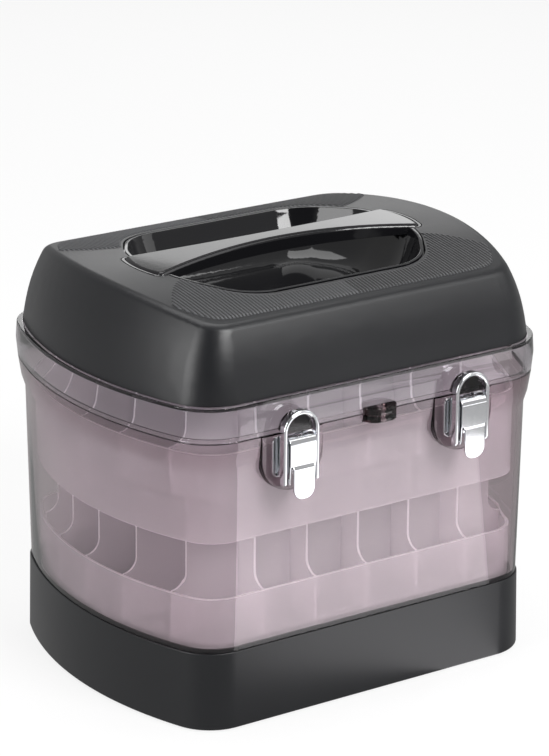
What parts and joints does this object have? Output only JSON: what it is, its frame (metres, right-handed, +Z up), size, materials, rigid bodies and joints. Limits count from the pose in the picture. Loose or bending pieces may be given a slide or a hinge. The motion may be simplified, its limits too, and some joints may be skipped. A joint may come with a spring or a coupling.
{
  "type": "nail polish case",
  "caption": "Carrying case for nail polish: clear tub in a black base, stacked divided trays, hinged crowned lid with a carry bar, toggle latches and padlock lugs.",
  "frame": {"origin": "centre of the plan outline on the surface that the case stands on", "axes": "+X along the front from left to right, -Y towards the front with the latches, +Z up"},
  "size_m": [0.2748, 0.2324, 0.248],
  "materials": {
    "black_shell": "fine moulded matte",
    "smoky_clear": "clear smoky moulding",
    "milky_tray": "frosted milky moulding",
    "gloss_black": "polished",
    "latch_chrome": "bright plated",
    "steel": "plain",
    "rubber_foot": "matte"
  },
  "bodies": {
    "case": {"base_shoe": "black_shell", "foot_front_left": "rubber_foot", "foot_rear_left": "rubber_foot", "foot_front_right": "rubber_foot", "foot_rear_right": "rubber_foot", "base_screws": "steel", "body_tub": "smoky_clear", "floor_plate": "smoky_clear", "hinge_pin_left": "steel", "hinge_pin_right": "steel", "lower_tray": "milky_tray", "lower_cross_divider_1": "milky_tray", "lower_cross_divider_2": "milky_tray", "lower_cross_divider_3": "milky_tray", "lower_cross_divider_4": "milky_tray", "lower_cross_divider_5": "milky_tray", "lower_long_divider_1": "milky_tray", "lower_long_divider_2": "milky_tray", "lower_long_divider_3": "milky_tray", "lower_long_divider_4": "milky_tray", "lower_long_divider_5": "milky_tray", "upper_tray": "milky_tray", "upper_cross_divider_1": "milky_tray", "upper_cross_divider_2": "milky_tray", "upper_cross_divider_3": "milky_tray", "upper_cross_divider_4": "milky_tray", "upper_cross_divider_5": "milky_tray", "upper_long_divider_1": "milky_tray", "upper_long_divider_2": "milky_tray", "upper_long_divider_3": "milky_tray", "upper_long_divider_4": "milky_tray", "upper_long_divider_5": "milky_tray", "left_latch_plate": "latch_chrome", "left_latch_rivets": "latch_chrome", "left_latch_pin": "latch_chrome", "right_latch_plate": "latch_chrome", "right_latch_rivets": "latch_chrome", "right_latch_pin": "latch_chrome"},
    "lid": {"lid_rim": "smoky_clear", "top_cover": "black_shell", "cover_screws": "steel", "handle_well": "gloss_black", "handle_bar": "gloss_black", "handle_screws": "steel"},
    "left_lever": {"left_latch_lever": "latch_chrome"},
    "left_bail": {"left_latch_bail": "latch_chrome"},
    "right_lever": {"right_latch_lever": "latch_chrome"},
    "right_bail": {"right_latch_bail": "latch_chrome"}
  },
  "joints": [
    {"name": "lid_hinge", "type": "hinge", "parent": "case", "child": "lid", "pos_m": [0, 0.11, 0.1719], "axis": [-1, 0, 0], "range_deg": [0, 100]},
    {"name": "left_lever_pivot", "type": "hinge", "parent": "case", "child": "left_lever", "pos_m": [-0.058, -0.1124, 0.1678], "axis": [-1, 0, 0], "range_deg": [0, 120]},
    {"name": "left_bail_pivot", "type": "hinge", "parent": "left_lever", "child": "left_bail", "pos_m": [-0.058, -0.113, 0.1468], "axis": [-1, 0, 0], "range_deg": [-96, 0]},
    {"name": "right_lever_pivot", "type": "hinge", "parent": "case", "child": "right_lever", "pos_m": [0.058, -0.1124, 0.1678], "axis": [-1, 0, 0], "range_deg": [0, 120]},
    {"name": "right_bail_pivot", "type": "hinge", "parent": "right_lever", "child": "right_bail", "pos_m": [0.058, -0.113, 0.1468], "axis": [-1, 0, 0], "range_deg": [-96, 0]}
  ],
  "couplings": [
    {"joint": "left_bail_pivot", "follows": "left_lever_pivot", "ratio": -0.8},
    {"joint": "right_bail_pivot", "follows": "right_lever_pivot", "ratio": -0.8}
  ]
}
